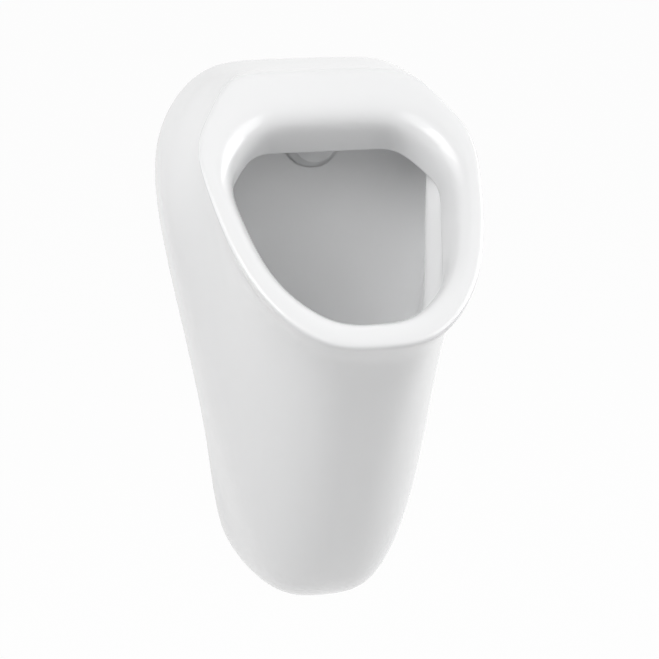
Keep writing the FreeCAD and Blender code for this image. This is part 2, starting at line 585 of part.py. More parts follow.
trap_nut = grip_nut(TRAP_NUT_RADIUS, TAIL_RADIUS + CLEAR, TRAP_NUT,
                    Vector(0, -OUTLET_DEPTH, TRAP_NUT_LOW), Vector(0, 0, 1))
trap_lip = tube(TAIL_RADIUS + CLEAR, DIP_RADIUS + CLEAR, TRAP_NUT_LOW, TRAP_NUT_LOW + NUT_LIP,
                OUTLET_DEPTH)
export("trap_inlet_nut", trap_nut.fuse(trap_lip).removeSplitter())
export("trap_inlet_washer", tube(TAIL_RADIUS, DIP_RADIUS - DIP_WALL, DIP_TOP, TAIL_LOW, OUTLET_DEPTH))
dip_flange = tube(TAIL_RADIUS, DIP_RADIUS - DIP_WALL, DIP_TOP - DIP_FLANGE, DIP_TOP, OUTLET_DEPTH)
dip_pipe = tube(DIP_RADIUS, DIP_RADIUS - DIP_WALL, DIP_END_HEIGHT, DIP_TOP, OUTLET_DEPTH)
export("dip_tube", dip_flange.fuse(dip_pipe).removeSplitter())
export("trap_body", trap_body())
export("trap_cup", trap_cup())
export("trap_cup_seal", tube(TRAP_RADIUS, CUP_BORE,
                             TRAP_END_HEIGHT - CUP_SEAL, TRAP_END_HEIGHT, OUTLET_DEPTH))

pipe = level_tube(PIPE_RADIUS, 0, PIPE_FRONT, 0.0, DRAIN_HEIGHT)
pipe = pipe.fuse(level_tube(DRAIN_RADIUS, 0, 0.0, -DRAIN_PAST_WALL, DRAIN_HEIGHT))
export("drain_pipe", pipe.cut(level_tube(PIPE_BORE, 0, PIPE_FRONT, -DRAIN_PAST_WALL, DRAIN_HEIGHT)))
seal_back = STUB_END - DRAIN_SEAL
export("drain_seal", level_tube(STUB_RADIUS, STUB_BORE, STUB_END, seal_back, DRAIN_HEIGHT))
drain_nut_back = seal_back - NUT_LIP
drain_nut = grip_nut(STUB_RADIUS + 5.0, STUB_RADIUS + CLEAR, DRAIN_NUT,
                     Vector(0, -drain_nut_back - DRAIN_NUT, DRAIN_HEIGHT), Vector(0, 1, 0))
drain_lip = level_tube(STUB_RADIUS + CLEAR, STUB_BORE, seal_back, drain_nut_back, DRAIN_HEIGHT)
export("drain_nut", drain_nut.fuse(drain_lip).removeSplitter())
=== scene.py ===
# %% [markdown]
# # A wall hung urinal in white vitreous china
#
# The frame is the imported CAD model: it says where each piece is and how big it is. This
# script dresses it. The origin is the middle of the four wall fixings, +Y runs into the
# wall and +Z is up. Lengths of the china are written in millimetres, as its drawing is,
# and MM turns them into Blender's metres.

import math

import bmesh
import bpy
import numpy as np
from mathutils import Matrix, Vector


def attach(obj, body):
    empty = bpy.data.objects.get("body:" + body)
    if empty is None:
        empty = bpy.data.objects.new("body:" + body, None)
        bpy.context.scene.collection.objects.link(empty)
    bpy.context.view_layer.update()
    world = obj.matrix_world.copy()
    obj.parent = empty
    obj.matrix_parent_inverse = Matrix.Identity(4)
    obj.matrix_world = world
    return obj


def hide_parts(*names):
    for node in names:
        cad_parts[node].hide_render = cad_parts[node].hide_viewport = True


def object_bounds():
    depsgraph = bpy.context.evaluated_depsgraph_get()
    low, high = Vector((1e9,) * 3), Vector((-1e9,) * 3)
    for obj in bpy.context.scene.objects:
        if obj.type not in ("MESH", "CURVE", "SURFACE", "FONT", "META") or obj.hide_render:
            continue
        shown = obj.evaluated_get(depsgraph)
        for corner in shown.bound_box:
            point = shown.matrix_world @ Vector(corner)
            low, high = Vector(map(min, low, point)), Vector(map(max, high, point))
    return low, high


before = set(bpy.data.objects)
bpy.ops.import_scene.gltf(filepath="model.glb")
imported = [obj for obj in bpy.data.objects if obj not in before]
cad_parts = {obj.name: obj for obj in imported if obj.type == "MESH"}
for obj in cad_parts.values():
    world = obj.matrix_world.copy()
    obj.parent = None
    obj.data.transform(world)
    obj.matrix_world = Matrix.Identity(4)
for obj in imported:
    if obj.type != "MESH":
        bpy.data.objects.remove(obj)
cad_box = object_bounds()
MM = 0.001
print("CAD box", [tuple(round(c, 4) for c in corner) for corner in cad_box])

# %% [markdown]
# ## Camera
#
# The photograph is taken from a little to the left of the urinal and a little above it,
# with a long lens, so that its upright edges hardly converge. The camera is built from its
# own three axes: one points back at it from the object, one to its right and one up. The
# shift slides the picture, because the object isn't in the middle of the photograph.

# %% Camera
CAMERA_AZIMUTH = math.radians(-14.186)
CAMERA_ELEVATION = math.radians(18.264)
CAMERA_ROLL = math.radians(0.25)
CAMERA_DISTANCE = 1.637
CAMERA_TARGET = Vector((0.0, -0.150, -0.188))
FOCAL_SHARE = 1686 / 659        # focal length as a share of the picture's width
SHIFT_RIGHT = 6.3 / 659
SHIFT_DOWN = 29.8 / 659


def add_camera():
    """Place the camera from its axes: back points away from the view, right = level, up = back x right."""
    level = math.cos(CAMERA_ELEVATION)
    back = Vector((math.sin(CAMERA_AZIMUTH) * level, -math.cos(CAMERA_AZIMUTH) * level,
                   math.sin(CAMERA_ELEVATION)))
    right = Vector((math.cos(CAMERA_AZIMUTH), math.sin(CAMERA_AZIMUTH), 0.0))
    up = back.cross(right)
    rolled_right = right * math.cos(CAMERA_ROLL) + up * math.sin(CAMERA_ROLL)
    rolled_up = up * math.cos(CAMERA_ROLL) - right * math.sin(CAMERA_ROLL)
    data = bpy.data.cameras.new("camera")
    data.sensor_width = 36.0
    data.lens = FOCAL_SHARE * data.sensor_width
    data.shift_x = -SHIFT_RIGHT
    data.shift_y = SHIFT_DOWN
    camera = bpy.data.objects.new("camera", data)
    axes = Matrix((rolled_right, rolled_up, back)).transposed()
    camera.matrix_world = Matrix.Translation(CAMERA_TARGET + back * CAMERA_DISTANCE) @ axes.to_4x4()
    bpy.context.scene.collection.objects.link(camera)
    bpy.context.scene.camera = camera
    return camera


camera = add_camera()
print("camera at", tuple(round(c, 3) for c in camera.matrix_world.translation))

# %% [markdown]
# ## Shader maths
#
# A material is a small sum over a few patterns. Written as nodes it is long and hard to
# read, so Number wraps one socket and lets Python's own operators add the Math nodes.
# Everything that isn't arithmetic comes from one method, Tree.node, and a finish is a tree
# with a shader at its end.


# %% Numbers, trees and finishes
class Number:
    """One number that varies over a surface. Arithmetic on it adds Math nodes to its tree."""

    def __init__(self, tree, socket):
        self.tree = tree
        self.socket = socket

    def _join(self, operation, first, second):
        return self.tree.node("ShaderNodeMath", {"operation": operation}, {0: first, 1: second})

    def __add__(self, other):
        return self._join("ADD", self, other)

    def __radd__(self, other):
        return self._join("ADD", other, self)

    def __rmul__(self, other):
        return self._join("MULTIPLY", other, self)

    def __pow__(self, other):
        return self._join("POWER", self, other)

    def larger(self, other):
        """The larger of the two numbers."""
        return self._join("MAXIMUM", self, other)


class Tree:
    """The nodes of a material or of the world."""

    def __init__(self, owner):
        owner.use_nodes = True
        self.nodes = owner.node_tree.nodes
        self.links = owner.node_tree.links

    def put(self, node, key, value):
        """Give a socket a link, if the value comes from another node, and otherwise a constant."""
        if isinstance(value, Number):
            self.links.new(value.socket, node.inputs[key])
        else:
            node.inputs[key].default_value = value

    def node(self, kind, settings=None, values=None, output=0):
        """Add any node: its settings first, and then its sockets."""
        node = self.nodes.new(kind)
        for key, value in (settings or {}).items():
            setattr(node, key, value)
        for key, value in (values or {}).items():
            self.put(node, key, value)
        return Number(self, node.outputs[output])

    def seen_rays(self):
        """1 for the rays that show a background: camera, glossy and transmission rays."""
        seen = self.node("ShaderNodeLightPath", output="Is Camera Ray")
        for kind in ("Is Glossy Ray", "Is Transmission Ray"):
            seen = seen.larger(self.node("ShaderNodeLightPath", output=kind))
        return seen


class Finish(Tree):
    """A material. Constants go on the shader's own sockets, and patterns are linked to them."""

    def __init__(self, name, **constants):
        self.material = bpy.data.materials.new(name)
        super().__init__(self.material)
        self.shader = self.nodes["Principled BSDF"]
        self.place = self.node("ShaderNodeTexCoord", output="Object")
        for socket, value in constants.items():
            self.put(self.shader, socket.replace("_", " "), value)

    def noise(self, scale, detail, place=None):
        """Soft noise about one half, with `scale` blobs to the metre and `detail` finer layers on them."""
        return self.node("ShaderNodeTexNoise", None,
                         {"Vector": place or self.place, "Scale": scale, "Detail": detail}, "Fac")

    def stretched(self, x, y, z):
        """The object's own coordinates, stretched by a factor along each axis."""
        return self.node("ShaderNodeMapping", None, {"Vector": self.place, "Scale": (x, y, z)})

    def blend(self, share, first, second):
        """A colour between two, by a share from 0 to 1."""
        return self.node("ShaderNodeMix", {"data_type": "RGBA", "clamp_factor": True},
                         {"Factor": share, 6: (*first, 1.0), 7: (*second, 1.0)}, 2)

    def use(self, **patterns):
        """Link patterns to the shader's sockets by name."""
        for socket, value in patterns.items():
            self.put(self.shader, socket.replace("_", " "), value)

    def bump(self, height, distance, strength):
        """Tilt the surface by a height pattern, where a height of 1 stands `distance` metres proud."""
        self.use(Normal=self.node("ShaderNodeBump", None,
                                  {"Height": height, "Distance": distance, "Strength": strength}, "Normal"))


# %% [markdown]
# ## Glazed china
#
# Vitreous china is white all through, under a clear glaze about half a millimetre thick
# that melts and runs a little in the kiln. So the colour hardly changes, the gloss is
# high, and what shows that it is china and not plastic is a slow waviness in the
# reflections, with a very fine dimple on top. A clear coat over a softer white gives both.

# %% China finishes
GLAZE_WHITE = (0.875, 0.877, 0.88)
GLAZE_SHADE = (0.85, 0.853, 0.858)
BISQUE_LIGHT = (0.76, 0.74, 0.70)
BISQUE_DARK = (0.66, 0.635, 0.59)


def glaze_finish():
    """Clear glaze over white: slow waves about 60 mm long and a dimple of 2 mm."""
    finish = Finish("white_china", Roughness=0.22, Coat_Weight=0.4, Coat_Roughness=0.08, Coat_IOR=1.5)
    cloud = finish.noise(5.0, 3.0)
    finish.use(Base_Color=finish.blend(cloud, GLAZE_WHITE, GLAZE_SHADE))
    finish.use(Roughness=0.17 + 0.1 * finish.noise(14.0, 2.0))
    waves = finish.noise(16.0, 1.0) + 0.05 * finish.noise(420.0, 1.0)
    finish.bump(waves, 0.0006, 0.35)
    return finish.material


def bisque_finish():
    """The unglazed back of the casting: matt, a little warm, with specks of kiln grit."""
    finish = Finish("bisque", Roughness=0.85, Specular_IOR_Level=0.25)
    grain = finish.noise(900.0, 3.0)
    finish.use(Base_Color=finish.blend(0.6 * finish.noise(22.0, 4.0) + 0.4 * grain, BISQUE_LIGHT, BISQUE_DARK))
    finish.bump(grain + 2.0 * finish.noise(60.0, 2.0), 0.0004, 0.5)
    return finish.material


china_glaze = glaze_finish()
china_bisque = bisque_finish()
print("china:", china_glaze.name, china_bisque.name)

# %% [markdown]
# ## Metals
#
# The hangers and their screws are pressed and cold headed steel with a thin bright zinc
# plating, which has a faint cloud and a sheen that changes over the sheet. The waste is
# chromed brass, nearly a mirror, and the strainer is stamped from polished stainless
# sheet, spun so that its finest scratches run in rings. All are metals with the same
# parts: a colour, a roughness with a slow pattern in it, and a very small bump.

# %% Metal finishes


def zinc_finish():
    """Zinc plate: two greys in clouds of about 15 mm and a grain of half a millimetre."""
    finish = Finish("zinc_steel", Metallic=1.0, Roughness=0.35)
    cloud = finish.noise(70.0, 4.0)
    finish.use(Base_Color=finish.blend(cloud, (0.70, 0.71, 0.72), (0.55, 0.56, 0.58)))
    finish.use(Roughness=0.26 + 0.2 * finish.noise(180.0, 3.0))
    finish.bump(finish.noise(1800.0, 2.0), 0.0001, 0.4)
    return finish.material


def chrome_finish():
    """Chrome on turned brass: a mirror with a slow cloud in its polish."""
    finish = Finish("chromed_brass", Metallic=1.0, Roughness=0.06)
    finish.use(Base_Color=finish.blend(finish.noise(40.0, 2.0), (0.82, 0.825, 0.83), (0.76, 0.765, 0.775)))
    finish.use(Roughness=0.04 + 0.07 * finish.noise(120.0, 3.0))
    finish.bump(finish.noise(260.0, 1.0), 0.00005, 0.3)
    return finish.material


def stainless_finish(centre):
    """Spun stainless sheet: fine noise on the distance from the axis makes rings."""
    finish = Finish("stainless_steel", Metallic=1.0, Roughness=0.2)
    away = finish.node("ShaderNodeVectorMath", {"operation": "SUBTRACT"}, {0: finish.place, 1: centre})
    level = finish.node("ShaderNodeVectorMath", {"operation": "MULTIPLY"}, {0: away, 1: (1.0, 1.0, 0.0)})
    radius = finish.node("ShaderNodeVectorMath", {"operation": "LENGTH"}, {0: level}, "Value")
    along = finish.node("ShaderNodeCombineXYZ", None, {"X": radius, "Y": 0.0, "Z": 0.0})
    rings = finish.noise(3000.0, 2.0, along)
    finish.use(Base_Color=finish.blend(rings, (0.74, 0.74, 0.745), (0.64, 0.64, 0.65)))
    finish.use(Roughness=0.14 + 0.16 * rings)
    finish.bump(rings, 0.00005, 0.5)
    return finish.material


zinc_steel = zinc_finish()
chromed_brass = chrome_finish()
WASTE_AXIS = (0.0, -0.104, 0.0)
stainless_steel = stainless_finish(WASTE_AXIS)
print("metals:", zinc_steel.name, chromed_brass.name, stainless_steel.name)

# %% [markdown]
# ## Plastics and rubber
#
# The trap and the nuts are moulded polypropylene: white, with a satin surface that the
# mould's own texture gives. The outlet pipe is extruded, so its fine lines run along it.
# Rubber is nearly black and very matt, with a grey bloom where it has stood.

# %% Plastic and rubber finishes


def moulded_finish(name, light, dark, roughness):
    """Moulded plastic: a faint flow cloud 30 mm long, and a fine even texture from the mould."""
    finish = Finish(name, Roughness=roughness, Specular_IOR_Level=0.5)
    finish.use(Base_Color=finish.blend(finish.noise(30.0, 3.0), light, dark))
    finish.use(Roughness=roughness - 0.06 + 0.12 * finish.noise(220.0, 2.0))
    finish.bump(finish.noise(1500.0, 1.0), 0.00008, 0.5)
    return finish.material


def pipe_finish():
    """Extruded pipe: noise squeezed along Y, so that it runs in long thin lines."""
    finish = Finish("grey_plastic", Roughness=0.4)
    lines = finish.noise(1.0, 3.0, finish.stretched(900.0, 12.0, 900.0))
    finish.use(Base_Color=finish.blend(lines, (0.44, 0.45, 0.46), (0.37, 0.38, 0.39)))
    finish.use(Roughness=0.34 + 0.14 * lines)
    finish.bump(lines, 0.0001, 0.5)
    return finish.material


def rubber_finish():
    """Black rubber: a grey bloom in soft patches over a fine grain."""
    finish = Finish("black_rubber", Roughness=0.8, Specular_IOR_Level=0.3)
    bloom = finish.noise(90.0, 3.0) ** 2.0
    finish.use(Base_Color=finish.blend(bloom, (0.03, 0.03, 0.031), (0.075, 0.075, 0.077)))
    finish.use(Roughness=0.68 + 0.2 * finish.noise(400.0, 2.0))
    finish.bump(finish.noise(2400.0, 2.0), 0.0001, 0.6)
    return finish.material


white_plastic = moulded_finish("white_plastic", (0.82, 0.825, 0.83), (0.77, 0.775, 0.78), 0.36)
black_plastic = moulded_finish("black_plastic", (0.045, 0.045, 0.046), (0.06, 0.06, 0.062), 0.55)
grey_plastic = pipe_finish()
black_rubber = rubber_finish()
print("plastics:", white_plastic.name, black_plastic.name, grey_plastic.name, black_rubber.name)

# %% [markdown]
# ## From a grid to a mesh
#
# Every new piece is a function of two numbers, worked out on a whole grid at once. A grid
# has rows, one round loop after another. The faces between two rows are quads whose
# corners are the grid's own indices, shifted by one row and by one column.


# %% Grids
def grid_faces(rows, columns, closed_rows=False):
    """Quads of a grid whose columns run round: index, next in the row, next row, and back."""
    index = np.arange(rows * columns).reshape(rows, columns)
    turned = np.roll(index, -1, axis=1)
    above, above_turned = np.roll(index, -1, axis=0), np.roll(turned, -1, axis=0)
    last = rows if closed_rows else rows - 1
    return np.stack([index, turned, above_turned, above], axis=-1)[:last].reshape(-1, 4).tolist()


def piece(name, points, faces, body, finish, smooth_angle=35.0):
    """A mesh piece: weld its seams and poles, point its faces outwards, shade it and let it ride."""
    mesh = bpy.data.meshes.new(name)
    mesh.from_pydata(np.asarray(points, float).reshape(-1, 3), [], faces)
    work = bmesh.new()
    work.from_mesh(mesh)
    bmesh.ops.remove_doubles(work, verts=work.verts, dist=1e-6)
    bmesh.ops.recalc_face_normals(work, faces=work.faces)
    work.to_mesh(mesh)
    work.free()
    mesh.materials.append(finish)
    mesh.shade_smooth()
    mesh.set_sharp_from_angle(angle=math.radians(smooth_angle))
    thing = bpy.data.objects.new(name, mesh)
    bpy.context.scene.collection.objects.link(thing)
    if body:
        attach(thing, body)
    return thing


# %% [markdown]
# ## The china's skin
#
# The real body is slip cast in one piece, so it has no seams: the wall flange, the column,
# the rolled rim, the slope inside it and the bowl flow into each other. It could be made
# with subdivision, but then the rim's roll is hard to steer. Here it is one smooth B-spline
# surface. Each loop of 16 poles lies in a slanting plane, and the surface follows the loops
# from the wall, out over the rim, and in to the bowl's floor, like cloth drawn over ribs.

# %% Driving dimensions of the china, in millimetres above its foot and from the wall
HEIGHT = 550.0
FOOT_BELOW_ORIGIN = 468.0
WALL_SIDE = 158.5
FLANGE_DEPTH = 25.0
BELLY_SIDE = 157.0
BELLY_TOP_DEPTH = 46.0
BELLY_FOOT_DEPTH = 144.0
BELLY_FOOT_DROP = 38.0
RIM_SIDE = 137.0
RIM_TOP_DEPTH = 92.5
RIM_FOOT_DEPTH = 325.7
RIM_FOOT_HEIGHT = 345.7
NECK_TOP_DEPTH = 61.5
NECK_BACK = 56.0
NECK_BELOW = 53.0
NECK_INSET = 26.7
ROLL = 13.0
ROLL_RISE = 1.0
ROLL_INSET = 3.0
BAND_TOP = 48.0
BAND_SIDE = 26.0
BAND_LIP = 30.0
BAND_SINK = 6.0
BEND_TOP = 14.0
BEND_SIDE = 8.0
BEND_SINK = 1.0
SLOPE_TOP = 8.0
SLOPE_SIDE = 6.0
SLOPE_SINK = 18.0
THROAT_SIDE = 102.0
THROAT_TOP_DEPTH = 104.0
THROAT_BELOW_TOP = 75.0
THROAT_FOOT_BACK = 32.4
THROAT_FOOT_BELOW = 5.8
THROAT_EDGE = 2.5
ENTRY_WIDER = 12.0
ENTRY_FORWARD = 15.0
ENTRY_BELOW = 10.0
BACK_WALL = 45.0
SIDE_WALL = 24.5
CEILING = 25.0
FLOOR_HEIGHT = 222.0
FLOOR_RADIUS = 46.0
FLOOR_EDGE = 10.0
OUTLET_DEPTH = 104.0
SHELL = 12.0
FOOT_SHELL = 10.0
FLOOR_SHELL = 14.0

# Outlines, as (share of the side pole, share of the way from top to foot), for one side.
WALL_SHARES = ((0.322, 0.0), (0.606, 0.005), (0.852, 0.07), (1.0, 0.19),
                (0.823, 0.459), (0.629, 0.73), (0.584, 1.0))
BELLY_SHARES = ((0.382, 0.0), (0.694, 0.01), (0.904, 0.093), (1.03, 0.276),
                (0.83, 0.38), (0.525, 0.94), (0.13, 1.0))
RIM_SHARES = ((0.474, 0.0), (0.686, 0.017), (0.854, 0.154), (1.0, 0.264),
               (0.956, 0.455), (0.81, 0.784), (0.409, 1.0))
BAND_SHARES = ((0.4, 0.0), (0.65, 0.02), (0.89, 0.14), (1.0, 0.3),
               (0.95, 0.475), (0.81, 0.785), (0.409, 1.0))
THROAT_SHARES = ((0.472, 0.0), (0.711, 0.0), (0.93, 0.16), (1.02, 0.24),
                 (0.885, 0.465), (0.755, 0.775), (0.4, 1.0))
BOWL_SHARES = ((0.43, 0.0), (0.86, 0.0), (1.0, 0.05), (0.92, 0.2),
                (0.76, 0.45), (0.6, 0.78), (0.33, 1.0))
INSET_SHARE = (0.5, 0.7, 0.9, 1.0, 1.0, 0.9, 0.6)
NECK_SHARE = (0.3, 0.35, 0.5, 0.75, 1.0, 0.7, 0.6)
# The bowl's loops, as shares of: the drop from ceiling to floor on the back wall, the way
# back from the lip to the waste's axis, the drop from lip to floor, and the widest side.
BOWL_STEP_SHARES = ((0.0, 0.271, 0.42, 0.85),
                    (0.03, 0.316, 0.631, 0.885),
                    (0.155, 0.37, 0.857, 0.97),
                    (0.38, 0.433, 0.946, 1.0),
                    (0.66, 0.505, 0.984, 0.9),
                    (0.914, 0.648, 1.008, 0.71))
ENTRY_FOOT_SHARES = (0.207, 0.194)
ROLL_FOOT_SHARE = 0.6
ROLL_LIP_SHARE = 0.85
print("outlines of", len(WALL_SHARES), "poles a side, besides the top and the foot")


# %% Loops of poles
def outline_loop(top, foot, side, outline, inset=0.0, shares=INSET_SHARE):
    """The 16 poles of a loop in the plane through `top` and `foot`, which are (Y, Z) at X = 0.

    Pole k lies at X = side * width_k - inset * share_k and at top + (foot - top) * drop_k, and
    the other half mirrors it in X.
    """
    widths, drops = np.array(outline).T
    half = np.zeros((9, 3))
    half[1:8, 0] = side * widths - inset * np.array(shares)
    half[:, 1:] = np.array(top) + np.outer(np.r_[0.0, drops, 1.0], np.subtract(foot, top))
    return np.concatenate([half, half[7:0:-1] * (-1, 1, 1)])


def round_loop(radius, depth, height):
    """A level circle of poles: X = r sin a, Y = r cos a - depth, for 16 equal angles."""
    angle = np.arange(16) * math.tau / 16
    return np.stack([radius * np.sin(angle), radius * np.cos(angle) - depth, np.full(16, height)], axis=1)


def outside_loops(inset=0.0, below=0.0, proud=0.0):
    """Wall, flange, belly and neck, drawn in by `inset`."""
    top = HEIGHT - inset
    return [outline_loop((proud, top), (proud, below), WALL_SIDE - inset, WALL_SHARES),
            outline_loop((-FLANGE_DEPTH, top), (-FLANGE_DEPTH, below), WALL_SIDE - inset, WALL_SHARES),
            outline_loop((-BELLY_TOP_DEPTH, top), (inset - BELLY_FOOT_DEPTH, below - BELLY_FOOT_DROP),
                         BELLY_SIDE - inset, BELLY_SHARES),
            outline_loop((-NECK_TOP_DEPTH, top),
                         (NECK_BACK - RIM_FOOT_DEPTH + inset, RIM_FOOT_HEIGHT - NECK_BELOW),
                         RIM_SIDE - inset, RIM_SHARES, NECK_INSET, NECK_SHARE)]


def rim_loops():
    """The roll, the face, the ridge and the slope: each is the rim's outline, drawn in and sunk."""
    top = np.array((-RIM_TOP_DEPTH, HEIGHT))
    foot = np.array((-RIM_FOOT_DEPTH, RIM_FOOT_HEIGHT))
    down = (foot - top) / np.linalg.norm(foot - top)
    behind = np.array((-down[1], down[0]))
    under_roll = outline_loop(top + (ROLL, ROLL_RISE), foot + (ROLL, -ROLL * ROLL_FOOT_SHARE),
                              RIM_SIDE, RIM_SHARES, ROLL_INSET)
    steps = ((0.0, 0.0, 0.0, 0.0, RIM_SHARES),
             (ROLL, ROLL, ROLL * ROLL_LIP_SHARE, 0.0, RIM_SHARES),
             (BAND_TOP - BEND_TOP, BAND_SIDE - BEND_SIDE, BAND_LIP - BEND_SIDE, BEND_SINK, BAND_SHARES),
             (BAND_TOP, BAND_SIDE, BAND_LIP, BAND_SINK, BAND_SHARES),
             (BAND_TOP + SLOPE_TOP, BAND_SIDE + SLOPE_SIDE, BAND_LIP + SLOPE_SIDE, SLOPE_SINK, BAND_SHARES))
    return [under_roll] + [outline_loop(top + down * at_top + behind * sink, foot - down * at_lip + behind * sink,
                                        RIM_SIDE, outline, at_side)
                           for at_top, at_side, at_lip, sink, outline in steps]


def bowl_loops():
    """The throat's edge, and the bowl behind it down to its flat round floor.

    Each bowl loop runs from the back wall, some share of the way from ceiling to floor, to
    a foot some share of the way from the lip to the waste's axis and to the floor.
    """
    throat_foot = (THROAT_FOOT_BACK - RIM_FOOT_DEPTH, RIM_FOOT_HEIGHT - THROAT_FOOT_BELOW)
    throat_top = HEIGHT - THROAT_BELOW_TOP
    throat = [outline_loop((step - THROAT_TOP_DEPTH, throat_top - step),
                           (throat_foot[0] + step, throat_foot[1] - step), THROAT_SIDE, THROAT_SHARES)
              for step in (0.0, THROAT_EDGE)]
    ceiling = HEIGHT - CEILING

    def front_foot(back, down):
        return ((RIM_FOOT_DEPTH - OUTLET_DEPTH) * back - RIM_FOOT_DEPTH,
                RIM_FOOT_HEIGHT - (RIM_FOOT_HEIGHT - FLOOR_HEIGHT) * down)

    entry = outline_loop((-BACK_WALL - ENTRY_FORWARD, ceiling - ENTRY_BELOW), front_foot(*ENTRY_FOOT_SHARES),
                         THROAT_SIDE + ENTRY_WIDER, THROAT_SHARES)
    bowl = [outline_loop((-BACK_WALL, ceiling - (ceiling - FLOOR_HEIGHT) * drop), front_foot(back, down),
                         (WALL_SIDE - SIDE_WALL) * side, BOWL_SHARES)
            for drop, back, down, side in BOWL_STEP_SHARES]
    floor = [round_loop(radius, OUTLET_DEPTH, FLOOR_HEIGHT) for radius in (FLOOR_RADIUS + FLOOR_EDGE, FLOOR_RADIUS)]
    return throat + [entry] + bowl + floor


print("loops of the skin:", len(outside_loops() + rim_loops() + bowl_loops()))

# %% [markdown]
# ## Weights of a B-spline
#
# A point of the surface is an average of poles. Round a loop, a pole's weight is a smooth
# bump two poles wide to each side. From loop to loop the weights are built up in three
# steps from a staircase, and the first and last loop are reached exactly.


# %% The surface
def round_weights(count, poles=16):
    """Weight of each pole at `count` places round a loop: 2/3 - t^2 + |t|^3/2 near it, (2 - |t|)^3/6 beyond."""
    place = np.arange(count)[:, None] * poles / count
    apart = np.abs((place - np.arange(poles) + poles / 2) % poles - poles / 2)
    near = 2 / 3 - apart ** 2 + apart ** 3 / 2
    far = np.clip(2 - apart, 0, None) ** 3 / 6
    return np.where(apart < 1, near, far)


def along_weights(loops, per_span):
    """Weight of each loop along the surface: the staircase averaged three times over rising knots."""
    spans = loops - 3
    knots = np.r_[[0.0] * 3, np.arange(spans + 1), [spans] * 3]
    place = np.linspace(0, spans - 1e-9, spans * per_span + 1)[:, None]
    weights = ((knots[:-1] <= place) & (place < knots[1:])).astype(float)
    for degree in (1, 2, 3):
        rise = knots[degree:-1] - knots[:-degree - 1]
        fall = knots[degree + 1:] - knots[1:-degree]
        up = np.where(rise > 0, (place - knots[:-degree - 1]) / np.where(rise > 0, rise, 1), 0)
        down = np.where(fall > 0, (knots[degree + 1:] - place) / np.where(fall > 0, fall, 1), 0)
        weights = up * weights[:, :-1] + down * weights[:, 1:]
    return weights


def skin_points(loops, per_span, around):
    """The surface on a grid: weights along times poles times weights round, in metres."""
    poles = np.stack(loops)
    points = np.einsum("rl,lpc,up->ruc", along_weights(len(loops), per_span), poles, round_weights(around))
    return (points - (0.0, 0.0, FOOT_BELOW_ORIGIN)) * MM


def capped_skin(name, loops, per_span, around, finish):
    """A closed solid from a skin: the first and last rows are closed with one flat face each."""
    points = skin_points(loops, per_span, around)
    rows = points.shape[0]
    ends = [list(range(around)), list(range((rows - 1) * around, rows * around))]
    return piece(name, points, grid_faces(rows, around) + ends, None, finish)


print("the weights of a loop add up to", round(float(round_weights(8).sum(axis=1).mean()), 6))

# %% [markdown]
# ## The hollow back
#
# A casting this size is never solid: it would crack in the kiln. Behind the bowl it is
# open to the wall, where the hangers and the flush pipe go, and under the bowl there is
# room for the trap. The hollow is the outside's own skin, drawn in by the thickness of
# the china, and kept only behind the bowl and below it. Boolean modifiers cut it out,
# which keeps its edges crisp, and carry its matt finish over to the new faces.


# %% Cutters
def box_points(low, high):
    """The eight corners between two opposite ones, in metres from millimetres above the foot."""
    corner = np.array(np.meshgrid(*zip(low, high), indexing="ij")).reshape(3, -1).T
    return (corner - (0.0, 0.0, FOOT_BELOW_ORIGIN)) * MM


BOX_FACES = [(0, 1, 3, 2), (4, 6, 7, 5), (0, 4, 5, 1), (2, 3, 7, 6), (0, 2, 6, 4), (1, 5, 7, 3)]


def box_piece(name, low, high, finish):
    """A plain box between two opposite corners, to cut with."""
    return piece(name, box_points(low, high), BOX_FACES, None, finish)


def rod_piece(name, start, end, radius, around=96):
    """A round rod to drill with: one circle, radius * (cos a, sin a) across its axis, at both ends."""
    axis = Vector(end) - Vector(start)
    turn = np.array(axis.to_track_quat("Z", "Y").to_matrix())
    angle = np.arange(around) * math.tau / around
    circle = np.stack([radius * np.cos(angle), radius * np.sin(angle), np.zeros(around)], axis=1) @ turn.T
    points = (np.stack([circle + start, circle + end]) - (0.0, 0.0, FOOT_BELOW_ORIGIN)) * MM
    ends = [list(range(around)), list(range(around, 2 * around))]
    return piece(name, points, grid_faces(2, around) + ends, None, china_bisque)


def combined(thing, operation, other):
    """Apply one boolean and throw the tool away."""
    modifier = thing.modifiers.new(operation.lower(), "BOOLEAN")
    modifier.operation = operation
    modifier.object = other
    modifier.solver = "EXACT"
    modifier.material_mode = "TRANSFER"
    graph = bpy.context.evaluated_depsgraph_get()
    mesh = bpy.data.meshes.new_from_object(thing.evaluated_get(graph))
    thing.modifiers.clear()
    thing.data = mesh
    bpy.data.objects.remove(other)
    return thing


# %% [markdown]
# ## China body
#
# The hanging ribs are left standing in the hollow: the hooks of the hangers catch under
# them. Boxes that only trim reach past the china, so that no two faces coincide. The holes
# for the flush inlet and for the waste come last.

# %% China body
PAST = 10.0                     # a tool reaches this far past the china
RIB_WIDTH = 44.0
RIB_BACK = 10.0
RIB_THICK = 12.0
RIB_HEIGHT = 500.0
HANGER_HALF_SPACING = 82.0
INLET_HEIGHT = 479.0
INLET_HOLE = 23.0
WASTE_HOLE = 24.5
UNDER_FLOOR = FLOOR_HEIGHT - FLOOR_SHELL


